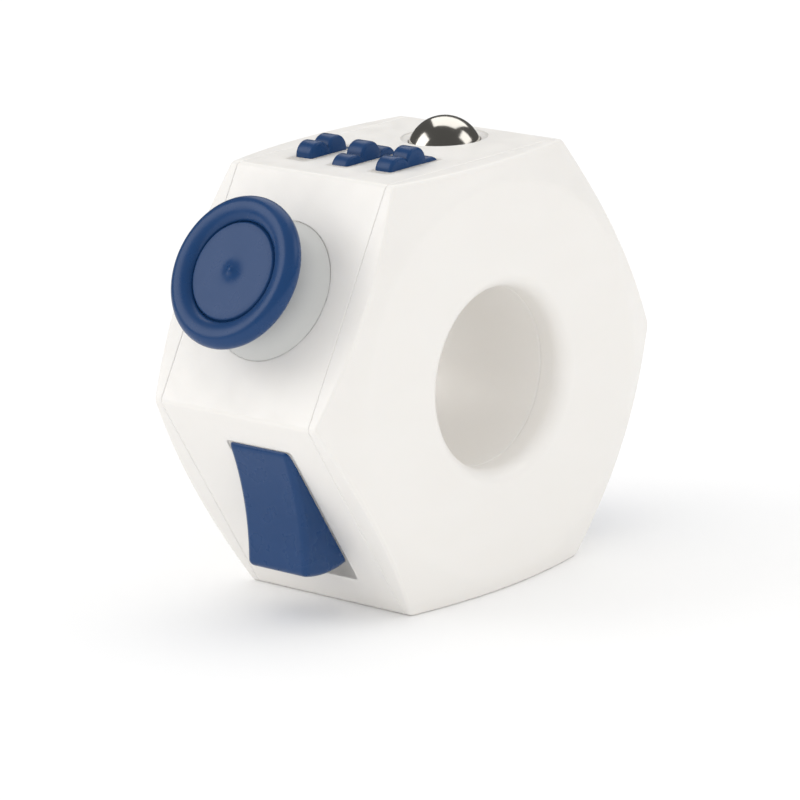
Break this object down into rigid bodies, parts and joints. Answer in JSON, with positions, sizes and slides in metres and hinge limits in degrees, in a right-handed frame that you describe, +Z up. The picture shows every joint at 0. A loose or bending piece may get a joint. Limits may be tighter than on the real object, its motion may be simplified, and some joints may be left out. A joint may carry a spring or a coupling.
{
  "type": "hexagonal fidget toy",
  "caption": "Nut-shaped hexagonal fidget toy with a finger hole through its middle and gears, a ball, a joystick, a rocker, buttons, a dial and a thumb dish on its sides.",
  "frame": {"origin": "centre of the finger hole at mid-thickness", "axes": "+Y along the finger hole towards the rear cover, +Z up out of the gear side, +X to the right seen from the front"},
  "size_m": [0.058, 0.0286, 0.0498],
  "materials": {
    "body_white": "fine matt moulded plastic, warm white",
    "dome_white": "smooth matt moulded plastic, neutral white",
    "inner_white": "plain moulded plastic, light grey",
    "deep_blue": "satin moulded plastic, deep blue",
    "ball_steel": "polished steel ball",
    "pin_steel": "ground steel",
    "spring_steel": "spring steel"
  },
  "bodies": {
    "housing": {"middle_band": "body_white", "front_cover": "body_white", "rear_cover": "body_white", "bore_sleeve": "body_white", "gear_axle": "pin_steel", "gear_carrier": "inner_white", "ball_cup": "inner_white", "joystick_carrier": "inner_white", "joystick_spring": "spring_steel", "rocker_pin": "pin_steel", "rocker_carrier": "inner_white", "rocker_leaf": "spring_steel", "button_spring_front": "spring_steel", "button_spring_middle": "spring_steel", "button_spring_rear": "spring_steel", "button_carrier": "inner_white", "dial_carrier": "inner_white", "thumb_dish": "deep_blue"},
    "gear_front": {"gear_front": "deep_blue"},
    "gear_middle": {"gear_middle": "deep_blue"},
    "gear_rear": {"gear_rear": "deep_blue"},
    "ball": {"steel_ball": "ball_steel"},
    "gimbal": {"gimbal_ring": "inner_white"},
    "joystick": {"joystick_stem": "inner_white", "joystick_dome": "dome_white", "joystick_cap": "deep_blue"},
    "rocker": {"rocker_paddle": "deep_blue"},
    "button_front": {"button_front": "deep_blue"},
    "button_middle": {"button_middle": "deep_blue"},
    "button_rear": {"button_rear": "deep_blue"},
    "dial": {"spin_dial": "deep_blue", "dial_spindle": "pin_steel", "dial_clip": "spring_steel"}
  },
  "joints": [
    {"name": "gear_front_spin", "type": "hinge", "parent": "housing", "child": "gear_front", "pos_m": [-0.00545, -0.006, 0.0207], "axis": [0, 1, 0], "continuous": true},
    {"name": "gear_middle_spin", "type": "hinge", "parent": "housing", "child": "gear_middle", "pos_m": [-0.00545, 0, 0.0207], "axis": [0, 1, 0], "continuous": true},
    {"name": "gear_rear_spin", "type": "hinge", "parent": "housing", "child": "gear_rear", "pos_m": [-0.00545, 0.006, 0.0207], "axis": [0, 1, 0], "continuous": true},
    {"name": "ball_roll", "type": "hinge", "parent": "housing", "child": "ball", "pos_m": [0.00765, 0, 0.0219], "axis": [0, 1, 0], "continuous": true},
    {"name": "gimbal_tilt", "type": "hinge", "parent": "housing", "child": "gimbal", "pos_m": [-0.01638, 0.0002, 0.00992], "axis": [0.5, 0, 0.866], "range_deg": [-14, 14], "stiffness_Nm_per_rad": 0.03},
    {"name": "joystick_tilt", "type": "hinge", "parent": "gimbal", "child": "joystick", "pos_m": [-0.01638, 0.0002, 0.00992], "axis": [0, 1, 0], "range_deg": [-14, 14], "stiffness_Nm_per_rad": 0.03, "deforming": ["joystick_spring"]},
    {"name": "rocker_tilt", "type": "hinge", "parent": "housing", "child": "rocker", "pos_m": [-0.01746, -0.00145, -0.00985], "axis": [0, 1, 0], "range_deg": [-43.4, 0]},
    {"name": "button_front_press", "type": "slide", "parent": "housing", "child": "button_front", "axis": [-0.866, 0, -0.5], "range_m": [0, 0.0012], "stiffness_N_per_m": 300, "springref_m": -0.0005, "deforming": ["button_spring_front"]},
    {"name": "button_middle_press", "type": "slide", "parent": "housing", "child": "button_middle", "axis": [-0.866, 0, -0.5], "range_m": [0, 0.0012], "stiffness_N_per_m": 300, "springref_m": -0.0005, "deforming": ["button_spring_middle"]},
    {"name": "button_rear_press", "type": "slide", "parent": "housing", "child": "button_rear", "axis": [-0.866, 0, -0.5], "range_m": [0, 0.0012], "stiffness_N_per_m": 300, "springref_m": -0.0005, "deforming": ["button_spring_rear"]},
    {"name": "dial_spin", "type": "hinge", "parent": "housing", "child": "dial", "pos_m": [0.02057, 0, -0.01188], "axis": [0.866, 0, -0.5], "continuous": true}
  ]
}
